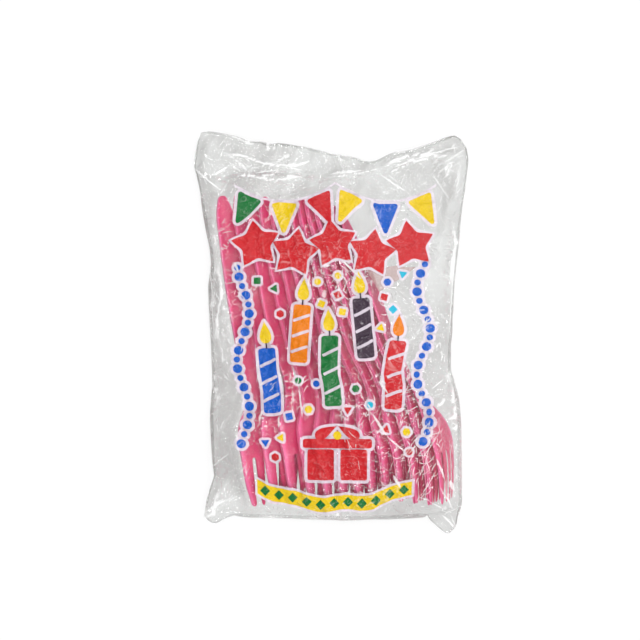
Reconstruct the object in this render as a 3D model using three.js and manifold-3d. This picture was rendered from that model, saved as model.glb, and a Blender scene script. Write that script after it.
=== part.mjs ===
// A printed film bag of 25 disposable plastic forks, lying on its back, in millimetres with +Z up.
// The forks lie nested on their faces, each leaning on the one to its left, and fan out
// from their handles to their tines. The film is drawn over them and sealed at both ends.
import * as THREE from "three";
import { mergeVertices } from "three/addons/utils/BufferGeometryUtils.js";
import Module from "manifold-3d";

const { clamp, degToRad, lerp, smoothstep } = THREE.MathUtils;
const wasm = await Module();
wasm.setup();

// One fork, measured from the end of its handle to the tips of its tines
const forkLength = 163;
const forkWall = 0.8;
const handleWidth = 10.6;
const handleEndWidth = 4.4;
const handleTaper = 24;
const rimWidth = 1.1;
const rimHeight = 0.3;
const neckWidth = 7;
const headWidth = 26;
const headLength = 60;
const headCrown = 0.9;
const headRise = 10;
const handleBow = 2.2;
const tineLength = 26;
const tineCount = 4;
const tipsWidth = 17;
const slotRootWidth = 2;
const slotTipWidth = 2.6;

// How the forks lie in the bag
const forkCount = 25;
const nestEvery = 2;
const clearance = 0.3;
const firstTilt = 18;
const lastTilt = 64;
const tiltEase = 1;
const firstYaw = 8.5;
const lastYaw = 20.5;
const slideAmount = 1.9;
const slideWave = 0.95;
const fanDrop = 5;

// The bag
const filmWall = 0.3;
const sideRoom = 2.8;
const bottomRoom = 3.8;
const topRoom = 25;
const sideHem = 1;
const bottomSeal = 1.2;
const topSeal = 15;
const topSealRows = 3;
const edgeHeight = 4.5;
const edgeWave = 1.2;
const backRise = 12;
const airLift = 0.012;
const foldHeight = 1.6;
const foldWidth = 4.5;
const ventDiameter = 5;
const ventFromTop = 44;
const ventFromSide = 28;
const cellsAcross = 21;
const cellsAlong = 28;
const reachStep = 1;
const drawPasses = 150;

// A smooth function through the given places and values.
function through(...points) {
  const places = points.map(([place]) => place);
  const values = points.map(([, value]) => value);
  const curve = new THREE.CubicInterpolant(places, values, 1);
  return (place) => curve.evaluate(place)[0];
}

function solidFrom(geometry) {
  const bare = geometry.clone();
  for (const name of Object.keys(bare.attributes)) {
    if (name !== "position") bare.deleteAttribute(name);
  }
  const merged = mergeVertices(bare, 1e-4);
  return new wasm.Manifold(
    new wasm.Mesh({
      numProp: 3,
      vertProperties: merged.attributes.position.array,
      triVerts: new Uint32Array(merged.index.array),
    }),
  );
}

function geometryFrom(solid) {
  const mesh = solid.getMesh();
  const geometry = new THREE.BufferGeometry();
  geometry.setAttribute("position", new THREE.BufferAttribute(mesh.vertProperties, 3));
  geometry.setIndex(new THREE.BufferAttribute(mesh.triVerts, 1));
  geometry.computeVertexNormals();
  return geometry;
}

// A closed skin over sections that all have the same number of points.
function loft(sections) {
  const count = sections[0].length;
  const index = [];
  for (let s = 0; s + 1 < sections.length; s++) {
    for (let p = 0; p < count; p++) {
      const a = s * count + p;
      const b = s * count + ((p + 1) % count);
      index.push(a, b, a + count, b, b + count, a + count);
    }
  }
  const outline = (section) => section.map((point) => new THREE.Vector2(point.x, point.z));
  const last = (sections.length - 1) * count;
  for (const [a, b, c] of THREE.ShapeUtils.triangulateShape(outline(sections[0]), [])) {
    index.push(c, b, a);
  }
  for (const [a, b, c] of THREE.ShapeUtils.triangulateShape(outline(sections.at(-1)), [])) {
    index.push(last + a, last + b, last + c);
  }
  return new THREE.BufferGeometry().setFromPoints(sections.flat()).setIndex(index);
}

// Fork: the handle's end is at the origin, the tines point along -Y and the back is up.
const neckAt = forkLength - headLength;
const rootAt = forkLength - tineLength;
const halfWidth = through(
  [0, handleEndWidth / 2],
  [handleTaper * 0.3, handleEndWidth / 2 + (handleWidth - handleEndWidth) * 0.28],
  [handleTaper, handleWidth / 2],
  [neckAt * 0.78, handleWidth * 0.46],
  [neckAt, neckWidth / 2],
  [lerp(neckAt, rootAt, 0.22), neckWidth / 2 + (headWidth - neckWidth) * 0.13],
  [lerp(neckAt, rootAt, 0.5), headWidth * 0.44],
  [lerp(neckAt, rootAt, 0.72), headWidth / 2],
  [rootAt, headWidth * 0.485],
  [lerp(rootAt, forkLength, 0.5), lerp(tipsWidth, headWidth, 0.62) / 2],
  [forkLength, tipsWidth / 2],
);
const backHeight = through(
  [0, 0],
  [neckAt * 0.35, handleBow],
  [neckAt * 0.8, handleBow],
  [neckAt + headLength * 0.1, handleBow + headRise * 0.4],
  [lerp(neckAt, rootAt, 0.72), headRise],
  [rootAt, headRise * 0.93],
  [lerp(rootAt, forkLength, 0.5), headRise * 0.55],
  [forkLength, 0.4],
);

function forkSection(along) {
  const w = halfWidth(along);
  const base = backHeight(along);
  const onHead = smoothstep(along, neckAt, lerp(neckAt, rootAt, 0.7));
  const crown = headCrown * onHead;
  const rim = rimHeight * smoothstep(along, 0, handleTaper * 0.4) * (1 - onHead);
  const flat = lerp(w - rimWidth, w * 0.5, onHead);
  const point = (x, z) => new THREE.Vector3(x, -along, base + z);
  return [
    point(-w, -crown),
    point(-flat, 0),
    point(flat, 0),
    point(w, -crown),
    point(w, forkWall + rim - crown),
    point(flat, forkWall),
    point(-flat, forkWall),
    point(-w, forkWall + rim - crown),
  ];
}

// The gap between two tines, from its round root out past the tips.
function tineSlot(place) {
  const centre = (along) => halfWidth(along) * place;
  const past = 2;
  const root = slotRootWidth / 2;
  const tip = slotTipWidth / 2;
  const start = rootAt + root;
  const slot = new THREE.Shape();
  slot.moveTo(centre(forkLength) + tip, -forkLength - past);
  slot.lineTo(centre(start) + root, -start);
  slot.absarc(centre(start), -start, root, 0, Math.PI, false);
  slot.lineTo(centre(forkLength) - tip, -forkLength - past);
  const height = headRise + 4 * forkWall + 2 * headCrown;
  const cutter = new THREE.ExtrudeGeometry(slot, {
    depth: height,
    bevelEnabled: false,
    curveSegments: 2,
  });
  cutter.translate(0, 0, -2 * headCrown - forkWall);
  return solidFrom(cutter);
}

function makeForkGeometry() {
  const handle = [0, 0.03, 0.22, 0.7].map((share) => share * neckAt);
  const head = [0, 0.3, 0.6, 0.84].map((share) => lerp(neckAt, rootAt, share));
  const tines = [0, 1].map((share) => lerp(rootAt, forkLength, share));
  let fork = solidFrom(loft([...handle, ...head, ...tines].map(forkSection)));
  for (let slot = 1; slot < tineCount; slot++) {
    fork = fork.subtract(tineSlot((2 * slot) / tineCount - 1));
  }
  return geometryFrom(fork);
}

// Where each fork lies. A fork leans on its left neighbour, so the room between two handles
// or two heads, across their tilt, is what the walls, rims and crowns there take up. Every
// few forks, one lies right on the back of its neighbour instead, turned as that one is.
function forkPlaces() {
  const nests = (i) => i % nestEvery === nestEvery - 1;
  const order = [...Array(forkCount).keys()];
  const leaning = order.filter((i) => !nests(i)).length;
  const tiltOf = (turn) =>
    degToRad(lerp(firstTilt, lastTilt, (turn / (leaning - 1)) ** tiltEase));
  const yawStep = degToRad(lastYaw - firstYaw) / (leaning - 1);
  const slideOf = (turn) =>
    slideAmount * Math.sin(turn * slideWave) - (fanDrop * turn) / (leaning - 1);
  const handleRoom = forkWall + rimHeight + clearance;
  const places = [];
  let x = 0;
  let turn = 0;
  for (const i of order) {
    const tilt = tiltOf(turn);
    const tiltStep = tiltOf(turn + 1) - tilt;
    const yaw = degToRad(firstYaw) + turn * yawStep;
    places.push({ x, tilt, yaw, slide: slideOf(turn), lift: nests(i) ? handleRoom : 0 });
    if (nests(i + 1)) continue;
    const lift = nests(i) ? handleRoom : 0;
    const shift = (forkWall + rimHeight) / Math.tan(tilt);
    const overlap = clamp(shift / headWidth, 0, 1);
    const crownRoom = 4 * headCrown * overlap * (1 - overlap);
    const slopeRoom = (Math.abs(slideOf(turn + 1) - slideOf(turn)) * headRise) / tineLength;
    const headRoom = forkWall + clearance + crownRoom + slopeRoom + (tiltStep * headWidth) / 2;
    const rise = ((tiltStep * headWidth) / 2) * Math.cos(tilt) ** 2;
    const across = (room) => (room + lift - rise) / Math.sin(tilt) / Math.cos(yaw);
    const atHandle = across(handleRoom + (tiltStep * handleWidth) / 2);
    const atHead = across(headRoom) - yawStep * rootAt;
    x += Math.max(atHandle, atHead);
    turn++;
  }
  return places;
}

function makePile() {
  const geometry = makeForkGeometry();
  const plastic = new THREE.MeshStandardMaterial({
    color: 0xe0557f,
    roughness: 0.32,
    metalness: 0,
  });
  const pile = new THREE.Group();
  forkPlaces().forEach(({ x, tilt, yaw, slide, lift }, i) => {
    const fork = new THREE.Mesh(geometry, plastic);
    fork.name = `fork_${String(i + 1).padStart(2, "0")}`;
    fork.rotation.set(0, tilt, yaw, "ZYX");
    fork.position.set(x, 0, 0);
    fork.translateY(slide);
    fork.updateMatrixWorld();
    const lowest = new THREE.Box3().setFromObject(fork, true).min.z;
    fork.position.z = filmWall + clearance - lowest;
    fork.translateZ(lift);
    pile.add(fork);
  });
  pile.updateMatrixWorld(true);
  return pile;
}

// The bag's outline, seen from above: how far each edge runs outside the straight sides,
// at shares of the way up the bag or across it.
const leftEdge = through(
  [0, 5.4], [0.06, 0.4], [0.11, -1.2], [0.2, 0], [0.45, 0.8], [0.62, 0.2], [0.7, 1.6],
  [0.78, 4.4], [0.9, 8.2], [0.96, 7.6], [1, 6.4],
);
const rightEdge = through(
  [0, -2], [0.05, 1.2], [0.1, 1.2], [0.2, 0.6], [0.34, -1.4], [0.4, -5], [0.55, -4.8],
  [0.7, -3], [0.82, -0.6], [0.91, 3], [0.96, 3.4], [1, -0.6],
);
const topEdge = through(
  [0, 7.6], [0.1, 3.8], [0.18, -0.4], [0.28, -0.6], [0.4, -0.8], [0.5, -4.4], [0.6, -8.6],
  [0.67, -8.4], [0.75, -4.4], [0.82, -3], [0.88, 0.6], [0.95, 5], [1, 4.4],
);
const bottomEdge = through(
  [0, 3.6], [0.04, 5.6], [0.08, 4.2], [0.13, 0.4], [0.2, -0.4], [0.5, 0], [0.8, 0.8],
  [0.86, 2.6], [0.91, 8], [0.94, 10], [0.97, 8], [1, 5],
);

// The folds that run from the contents to the corners, as shares across and up the bag
const folds = [
  [0.02, 0.97, 0.2, 0.8],
  [0.12, 0.93, 0.3, 0.83],
  [0.98, 0.96, 0.8, 0.78],
  [0.96, 0.72, 0.8, 0.86],
  [0.97, 0.5, 0.86, 0.66],
  [0.03, 0.05, 0.16, 0.2],
  [0.02, 0.42, 0.1, 0.3],
];

// Steps from one end to the other that are drawn closer together towards both.
function graded(start, end, count) {
  return [...Array(count + 1).keys()].map((k) => {
    const share = k / count;
    const bunched = (1 - Math.cos(Math.PI * share)) / 2;
    return lerp(start, end, lerp(share, bunched, 0.75));
  });
}

function bagPlan(contents) {
  const left = contents.min.x - sideRoom;
  const right = contents.max.x + sideRoom;
  const bottom = contents.min.y - bottomRoom;
  const top = contents.max.y + topRoom;
  const place = (u, v) =>
    new THREE.Vector2(
      lerp(left - leftEdge(v), right + rightEdge(v), u),
      lerp(bottom - bottomEdge(u), top + topEdge(u), v),
    );
  // Shares across and up the bag of a point seen from above
  const shares = (x, y) => {
    let u = 0.5;
    let v = 0.5;
    for (let pass = 0; pass < 5; pass++) {
      u = (x - left + leftEdge(v)) / (right + rightEdge(v) - left + leftEdge(v));
      v = (y - bottom + bottomEdge(u)) / (top + topEdge(u) - bottom + bottomEdge(u));
    }
    return [u, v];
  };
  return { place, shares, width: right - left, length: top - bottom };
}

// The height at which the front and back films meet, in slow waves round the bag.
const seamHeight = (u, v) =>
  edgeHeight + edgeWave * (Math.sin(9 * u + 2) * Math.cos(5 * v) + 0.5 * Math.sin(15 * v + 4 * u));

// The highest and lowest fork point near each small square of the ground under the pile.
function reachPerSquare(pile) {
  const squares = new Map();
  const corner = [0, 1, 2].map(() => new THREE.Vector3());
  const point = new THREE.Vector3();
  const note = (column, row) => {
    const key = `${column} ${row}`;
    const square = squares.get(key);
    if (square) {
      square.top = Math.max(square.top, point.z);
      square.under = Math.min(square.under, point.z);
    } else {
      const [x, y] = [column * reachStep, row * reachStep];
      squares.set(key, { x, y, top: point.z, under: point.z });
    }
  };
  for (const fork of pile.children) {
    const { index, attributes } = fork.geometry;
    for (let t = 0; t < index.count; t += 3) {
      corner.forEach((c, k) => {
        c.fromBufferAttribute(attributes.position, index.getX(t + k));
        c.applyMatrix4(fork.matrixWorld);
      });
      const [a, b, c] = corner;
      const longest = Math.max(a.distanceTo(b), b.distanceTo(c), c.distanceTo(a));
      const parts = Math.ceil(longest / reachStep);
      for (let p = 0; p <= parts; p++) {
        for (let q = 0; p + q <= parts; q++) {
          point.copy(a).multiplyScalar(1 - (p + q) / parts);
          point.addScaledVector(b, p / parts).addScaledVector(c, q / parts);
          const column = Math.floor(point.x / reachStep);
          const row = Math.floor(point.y / reachStep);
          for (const side of [0, 1]) for (const end of [0, 1]) note(column + side, row + end);
        }
      }
    }
  }
  return [...squares.values()];
}

// Front and back films as heights on one grid: the front sinks as a drawn sheet until it
// lies on the forks, and the back lies on the ground and turns up to the seams.
function drapeFilm(pile, plan, across, along, inside) {
  const seam = across.map((u) => along.map((v) => seamHeight(u, v)));
  const front = seam.map((row) => [...row]);
  const back = seam.map((row) => [...row]);
  const under = seam.map((row) => row.map(() => Infinity));
  const free = seam.map((row) => row.map(() => false));
  inside((i, j) => (free[i][j] = true));
  const spots = reachPerSquare(pile).map((square) => {
    const [u, v] = plan.shares(square.x, square.y);
    const i = across.findIndex((step) => step > u) - 1;
    const j = along.findIndex((step) => step > v) - 1;
    const s = (u - across[i]) / (across[i + 1] - across[i]);
    const t = (v - along[j]) / (along[j + 1] - along[j]);
    const third = s > t ? [i + 1, j, s - t] : [i, j + 1, t - s];
    const corners = [[i, j, 1 - Math.max(s, t)], [i + 1, j + 1, Math.min(s, t)], third];
    const around = [[i, j], [i + 1, j], [i, j + 1], [i + 1, j + 1]];
    for (const [a, b] of around) under[a][b] = Math.min(under[a][b], square.under);
    return { top: square.top, corners };
  });
  inside((i, j) => {
    const here = plan.place(across[i], along[j]);
    const toSide = Math.min(
      here.distanceTo(plan.place(0, along[j])),
      here.distanceTo(plan.place(1, along[j])),
      here.distanceTo(plan.place(across[i], 0)),
      here.distanceTo(plan.place(across[i], 1)) - topSeal,
    );
    const turnUp = clamp(1 - toSide / backRise, 0, 1) ** 2;
    const raised = lerp(filmWall, seam[i][j], turnUp);
    back[i][j] = clamp(raised, filmWall, Math.max(filmWall, under[i][j] - clearance));
  });
  // Where the film would touch a fork, the corners round that place rise by their shares
  const clearForks = () => {
    for (const { top, corners } of spots) {
      const loose = corners.filter(([i, j]) => free[i][j]);
      const height = corners.reduce((sum, [i, j, share]) => sum + share * front[i][j], 0);
      const short = top + clearance - height;
      if (short <= 0) continue;
      const weight = loose.reduce((sum, [, , share]) => sum + share * share, 0);
      for (const [i, j, share] of loose) front[i][j] += (short * share) / weight;
    }
  };
  for (let pass = 0; pass < drawPasses; pass++) {
    const pull = 1 - pass / drawPasses;
    inside((i, j) => {
      const near = front[i - 1][j] + front[i + 1][j] + front[i][j - 1] + front[i][j + 1];
      const drawn = lerp(front[i][j], near / 4 + airLift, pull);
      front[i][j] = Math.max(back[i][j] + clearance, drawn);
    });
    clearForks();
  }
  inside((i, j) => {
    front[i][j] += foldAt(plan, across[i], along[j]);
  });
  return { front, back, seam };
}

// How far the folds stand out of the film, at shares across and up the bag.
function foldAt(plan, u, v) {
  const here = plan.place(u, v);
  let height = 0;
  for (const [startU, startV, endU, endV] of folds) {
    const start = plan.place(startU, startV);
    const way = plan.place(endU, endV).sub(start);
    const reach = clamp(here.clone().sub(start).dot(way) / way.lengthSq(), 0, 1);
    const off = here.distanceTo(start.addScaledVector(way, reach));
    height += foldHeight * (1 - reach) * Math.exp(-((off / foldWidth) ** 2));
  }
  return height;
}

// A closed skin over a grid of front points and one of back points that share their rim.
function pillow(front, back) {
  const points = front.flat();
  const rows = front[0].length;
  const isRim = (i, j) => i === 0 || j === 0 || i === front.length - 1 || j === rows - 1;
  const frontAt = (i, j) => i * rows + j;
  const backIndex = back.map((row, i) =>
    row.map((point, j) => (isRim(i, j) ? frontAt(i, j) : points.push(point) - 1)),
  );
  const index = [];
  for (let i = 0; i + 1 < front.length; i++) {
    for (let j = 0; j + 1 < rows; j++) {
      index.push(frontAt(i, j), frontAt(i + 1, j), frontAt(i + 1, j + 1));
      index.push(frontAt(i, j), frontAt(i + 1, j + 1), frontAt(i, j + 1));
      const [a, b] = [backIndex[i][j], backIndex[i + 1][j]];
      const [c, d] = [backIndex[i + 1][j + 1], backIndex[i][j + 1]];
      index.push(a, c, b, a, d, c);
    }
  }
  return new THREE.BufferGeometry().setFromPoints(points).setIndex(index);
}

// The same grid of points, moved by the film's wall along the grid's own normals.
function thicken(points, side) {
  const rows = points[0].length;
  const normals = points.map((row, i) =>
    row.map((_, j) => {
      const at = (di, dj) =>
        points[clamp(i + di, 0, points.length - 1)][clamp(j + dj, 0, rows - 1)];
      const acrossWay = at(1, 0).clone().sub(at(-1, 0));
      const alongWay = at(0, 1).clone().sub(at(0, -1));
      return acrossWay.cross(alongWay).normalize();
    }),
  );
  return points.map((row, i) =>
    row.map((point, j) => point.clone().addScaledVector(normals[i][j], side * filmWall)),
  );
}

function makeBag(pile) {
  const contents = new THREE.Box3().setFromObject(pile, true);
  const plan = bagPlan(contents);
  const hem = sideHem / plan.width;
  const sealTop = 1 - topSeal / plan.length;
  const sealRows = [...Array(topSealRows).keys()].map((k) => (k + 1) / topSealRows);
  const across = [0, ...graded(hem, 1 - hem, cellsAcross), 1];
  const along = [
    0,
    ...graded(bottomSeal / plan.length, sealTop, cellsAlong),
    ...sealRows.map((share) => lerp(sealTop, 1, share)),
  ];
  const lastColumn = cellsAcross + 1;
  const lastRow = cellsAlong + 1;
  const inside = (visit) => {
    for (let i = 2; i < lastColumn; i++) {
      for (let j = 2; j < lastRow; j++) visit(i, j);
    }
  };
  const { front, back, seam } = drapeFilm(pile, plan, across, along, inside);
  const grid = (heights) =>
    heights.map((row, i) =>
      row.map((z, j) => {
        const { x, y } = plan.place(across[i], along[j]);
        return new THREE.Vector3(x, y, z);
      }),
    );
  const cut = (points) =>
    points.slice(1, lastColumn + 1).map((row) => row.slice(1, lastRow + 1));
  const innerFront = grid(front);
  const innerBack = grid(back);
  const outerFront = thicken(innerFront, 1);
  const outerBack = thicken(innerBack, -1);
  seam.forEach((row, i) =>
    row.forEach((z, j) => {
      const isEdge = i === 0 || j === 0 || i > lastColumn || j === along.length - 1;
      const isSealed = i === 1 || i === lastColumn || j === 1 || j >= lastRow;
      if (!isEdge && !isSealed) return;
      const { x, y } = plan.place(across[i], along[j]);
      outerFront[i][j].set(x, y, isEdge ? z : z + filmWall);
      outerBack[i][j].set(x, y, isEdge ? z : z - filmWall);
    }),
  );
  const skin = solidFrom(pillow(outerFront, outerBack));
  const room = solidFrom(pillow(cut(innerFront), cut(innerBack)));
  const vent = new THREE.CylinderGeometry(ventDiameter / 2, ventDiameter / 2, 4 * filmWall, 16);
  vent.rotateX(Math.PI / 2);
  vent.translate(contents.max.x - ventFromSide, contents.max.y + topRoom - ventFromTop, 0);
  const film = new THREE.MeshStandardMaterial({
    color: 0xf2f4f4,
    roughness: 0.15,
    metalness: 0,
    transparent: true,
    opacity: 0.3,
  });
  const bag = new THREE.Mesh(geometryFrom(skin.subtract(room).subtract(solidFrom(vent))), film);
  bag.name = "film_bag";
  return bag;
}

// The pack's origin is on the ground, under the middle of the bag.
const pack = new THREE.Group();
const pile = makePile();
const bag = makeBag(pile);
pack.add(bag, pile);
const middle = new THREE.Box3().setFromObject(bag, true).getCenter(new THREE.Vector3());
pack.position.set(-middle.x, -middle.y, 0);

export default pack;
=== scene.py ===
# A printed film bag of pink plastic forks, dressed on its solid frame. Sizes are in
# millimetres until a mesh is finished, and in metres in the scene.
import math
import random

import bmesh
import bpy
import numpy as np
from mathutils import Euler, Matrix, Vector, noise
from mathutils.bvhtree import BVHTree


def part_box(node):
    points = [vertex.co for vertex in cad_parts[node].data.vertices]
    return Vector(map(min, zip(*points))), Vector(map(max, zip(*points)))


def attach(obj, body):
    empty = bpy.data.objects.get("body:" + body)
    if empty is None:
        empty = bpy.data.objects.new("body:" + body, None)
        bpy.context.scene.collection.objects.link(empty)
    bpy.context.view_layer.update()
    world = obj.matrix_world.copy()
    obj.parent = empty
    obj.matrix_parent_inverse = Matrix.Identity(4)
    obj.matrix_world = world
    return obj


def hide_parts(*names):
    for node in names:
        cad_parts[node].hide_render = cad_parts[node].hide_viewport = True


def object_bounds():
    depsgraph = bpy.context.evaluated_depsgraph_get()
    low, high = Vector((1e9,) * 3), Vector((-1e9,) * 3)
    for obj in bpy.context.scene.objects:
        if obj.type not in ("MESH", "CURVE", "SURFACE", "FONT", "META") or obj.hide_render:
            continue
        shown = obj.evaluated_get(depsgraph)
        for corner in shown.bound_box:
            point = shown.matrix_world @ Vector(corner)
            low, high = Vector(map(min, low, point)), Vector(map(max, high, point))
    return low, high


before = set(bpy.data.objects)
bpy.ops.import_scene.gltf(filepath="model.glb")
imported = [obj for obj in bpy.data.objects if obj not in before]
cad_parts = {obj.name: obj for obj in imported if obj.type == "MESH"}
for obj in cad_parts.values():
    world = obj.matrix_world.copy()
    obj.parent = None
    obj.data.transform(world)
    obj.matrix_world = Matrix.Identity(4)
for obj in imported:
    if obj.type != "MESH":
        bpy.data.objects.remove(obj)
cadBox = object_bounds()
random.seed(7)
mm = 0.001

forkNames = sorted(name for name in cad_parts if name.startswith("fork_"))


def lerp(start, end, share):
    return start + (end - start) * share


def smoothStep(value, start, end):
    share = np.clip((value - start) / (end - start), 0, 1)
    return share * share * (3 - 2 * share)


# A smooth function through the given places and values
def curveThrough(*points):
    places = np.array([place for place, _ in points], float)
    values = np.array([value for _, value in points], float)
    slopes = np.gradient(values, places)

    def evaluate(place):
        k = np.clip(np.searchsorted(places, place, side="right") - 1, 0, len(places) - 2)
        span = places[k + 1] - places[k]
        t = np.clip((place - places[k]) / span, 0, 1)
        rise = values[k] * (2 * t**3 - 3 * t**2 + 1) + values[k + 1] * (3 * t**2 - 2 * t**3)
        lean = slopes[k] * (t**3 - 2 * t**2 + t) + slopes[k + 1] * (t**3 - t**2)
        return rise + span * lean

    return evaluate


def addToScene(name, data, place=(0, 0, 0)):
    thing = bpy.data.objects.new(name, data)
    thing.location = place
    bpy.context.scene.collection.objects.link(thing)
    return thing


def makeObject(bm, name, material):
    mesh = bpy.data.meshes.new(name)
    bm.to_mesh(mesh)
    bm.free()
    mesh.materials.append(material)
    return addToScene(name, mesh)


def finishPiece(bm, name, material):
    piece = makeObject(bm, name, material)
    piece.data.transform(Matrix.Scale(mm, 4))
    for face in piece.data.polygons:
        face.use_smooth = True
    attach(piece, "root")
    return piece


# A material starts as an empty tree, with the place on the object as its first node
def newMaterial(name):
    material = bpy.data.materials.new(name)
    material.use_nodes = True
    tree = material.node_tree
    tree.nodes.clear()
    return material, tree, addNode(tree, "ShaderNodeTexCoord").outputs["Object"]


# Values go to the node's inputs, by name or number: a number, or another node's output
def addNode(tree, kind, values=None, **settings):
    node = tree.nodes.new(kind)
    for key, value in settings.items():
        setattr(node, key, value)
    for key, value in (values or {}).items():
        if isinstance(value, bpy.types.NodeSocket):
            tree.links.new(value, node.inputs[key])
        else:
            node.inputs[key].default_value = value
    return node


def addSurface(tree, surface):
    addNode(tree, "ShaderNodeOutputMaterial", {"Surface": surface})


def addNoise(tree, place, values, **settings):
    return addNode(tree, "ShaderNodeTexNoise", {"Vector": place, **values}, **settings).outputs[0]


def addAttribute(tree, name):
    return addNode(tree, "ShaderNodeAttribute", attribute_name=name).outputs["Fac"]


def addMath(tree, operation, *terms, **settings):
    values = dict(enumerate(terms))
    return addNode(tree, "ShaderNodeMath", values, operation=operation, **settings).outputs[0]


def addStep(tree, value, span, bottom=0.0, top=1.0):
    values = {"Value": value, "From Min": span[0], "From Max": span[1]}
    values.update({"To Min": bottom, "To Max": top})
    step = addNode(tree, "ShaderNodeMapRange", values, interpolation_type="SMOOTHSTEP")
    return step.outputs["Result"]


def addTint(tree, share, first, second):
    values = {"Factor": share, "A": first, "B": second}
    return addNode(tree, "ShaderNodeMix", values, data_type="RGBA").outputs["Result"]


def addBump(tree, height, strength, depth):
    values = {"Height": height, "Strength": strength, "Distance": depth}
    return addNode(tree, "ShaderNodeBump", values).outputs["Normal"]


def mixShaders(tree, share, first, second):
    return addNode(tree, "ShaderNodeMixShader", {0: share, 1: first, 2: second}).outputs[0]


# Pink plastic
forkFinish = {
    "colour": (0.80, 0.024, 0.17, 1),
    "shade": (0.71, 0.01, 0.12, 1),
    # the rim colour is a painted highlight: lighter pink along the fork's edges, where they catch
    # the light
    "rim": (1.0, 0.15, 0.37, 1),
    "roughness": 0.3,
    "glow": 0.3,
    "glowReach": 0.003,
    "glowRadius": (1, 0.4, 0.5),
    "flowSize": 90,
    "grainSize": 1400,
    "grainStrength": 0.6,
    "grainDepth": 0.00002,
}


def makeForkPlastic():
    material, tree, place = newMaterial("pinkPlastic")
    flow = addNoise(tree, place, {"Scale": forkFinish["flowSize"], "Detail": 3})
    grain = addNoise(tree, place, {"Scale": forkFinish["grainSize"], "Detail": 2})
    tint = addTint(tree, flow, forkFinish["colour"], forkFinish["shade"])
    shader = addNode(tree, "ShaderNodeBsdfPrincipled", {
        # lighter pink towards the edges: the painted highlight on the rims
        "Base Color": addTint(tree, addAttribute(tree, "rim"), tint, forkFinish["rim"]),
        "Roughness": forkFinish["roughness"],
        "Subsurface Weight": forkFinish["glow"],
        "Subsurface Radius": forkFinish["glowRadius"],
        "Subsurface Scale": forkFinish["glowReach"],
        "Normal": addBump(tree, grain, forkFinish["grainStrength"], forkFinish["grainDepth"]),
    })
    addSurface(tree, shader.outputs["BSDF"])
    return material


# One fork lies along -Y with its handle's end at the origin and its back up
forkSize = {
    "length": 163,
    "wall": 0.8,
    "rimHeight": 0.3,
    "endWidth": 4.4,
    "handleWidth": 10.6,
    "handleTaper": 24,
    "neckWidth": 7,
    "headWidth": 26,
    "headLength": 60,
    "headCrown": 0.9,
    "headRise": 10,
    "handleBow": 2.2,
    "tineLength": 26,
    "tineCount": 4,
    "tipsWidth": 17,
    "slotRoot": 2,
    "slotTip": 2.6,
    "edgeRound": 0.22,
    "tipPinch": 0.26,
    "tipRound": 1.1,
    "tineTaper": 0.1,
    "taperLength": 12,
    "tineRound": 0.35,
    "tipWall": 0.75,
    "thinLength": 4,
    "headRim": 0.25,
}
forkEnd = forkSize["length"]
neckAt = forkEnd - forkSize["headLength"]
rootAt = forkEnd - forkSize["tineLength"]
tineColumns = (0, 0.14, 0.5, 0.86, 1)  # shares across each tine
rimProfile = ((0.7, 0.84, 0.94, 1), (0, 0.35, 1, 0.75))  # shares of the half width, of the height

forkHalfWidth = curveThrough(
    (0, forkSize["endWidth"] * 0.22),
    (0.6, forkSize["endWidth"] * 0.4),
    (2.4, forkSize["endWidth"] * 0.58),
    (forkSize["handleTaper"] * 0.3, lerp(forkSize["endWidth"], forkSize["handleWidth"], 0.56) / 2),
    (forkSize["handleTaper"], forkSize["handleWidth"] / 2),
    (neckAt * 0.78, forkSize["handleWidth"] * 0.46),
    (neckAt, forkSize["neckWidth"] / 2),
    (lerp(neckAt, rootAt, 0.22), lerp(forkSize["neckWidth"], forkSize["headWidth"], 0.26) / 2),
    (lerp(neckAt, rootAt, 0.5), forkSize["headWidth"] * 0.44),
    (lerp(neckAt, rootAt, 0.72), forkSize["headWidth"] / 2),
    (rootAt, forkSize["headWidth"] * 0.485),
    (
        lerp(rootAt, forkEnd, 0.5),
        lerp(forkSize["tipsWidth"], forkSize["headWidth"], 0.62) / 2,
    ),
    (forkEnd, forkSize["tipsWidth"] / 2),
)
forkBackHeight = curveThrough(
    (0, 0),
    (neckAt * 0.35, forkSize["handleBow"]),
    (neckAt * 0.8, forkSize["handleBow"]),
    (neckAt + forkSize["headLength"] * 0.1, forkSize["handleBow"] + forkSize["headRise"] * 0.4),
    (lerp(neckAt, rootAt, 0.72), forkSize["headRise"]),
    (rootAt, forkSize["headRise"] * 0.93),
    (lerp(rootAt, forkEnd, 0.5), forkSize["headRise"] * 0.55),
    (forkEnd, 0.4),
)


# The half width of the gap between two tines: nothing up to its round root
def slotHalf(along):
    root = forkSize["slotRoot"] / 2
    past = along - rootAt
    if past < root:
        return root * math.sqrt(max(0.12, 1 - (1 - max(past, 0) / root) ** 2))
    share = (past - root) / (forkSize["tineLength"] - root)
    return lerp(root, forkSize["slotTip"] / 2, share)


def forkRows():
    handle = [0, 0.3, 0.9, 1.8, 3, 5, 8, 12, 17, 23, 30, 38, 47, 56, 65, 74, 82, 90, 97]
    head = [lerp(neckAt, rootAt, k / 12) for k in range(12)]
    root = [rootAt, rootAt + 0.25, rootAt + 0.7]
    tine = [lerp(rootAt, forkEnd, k / 12) for k in range(1, 12)]
    tip = [forkEnd - 0.9, forkEnd - 0.3, forkEnd]
    return handle + head + root + tine + tip


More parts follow.
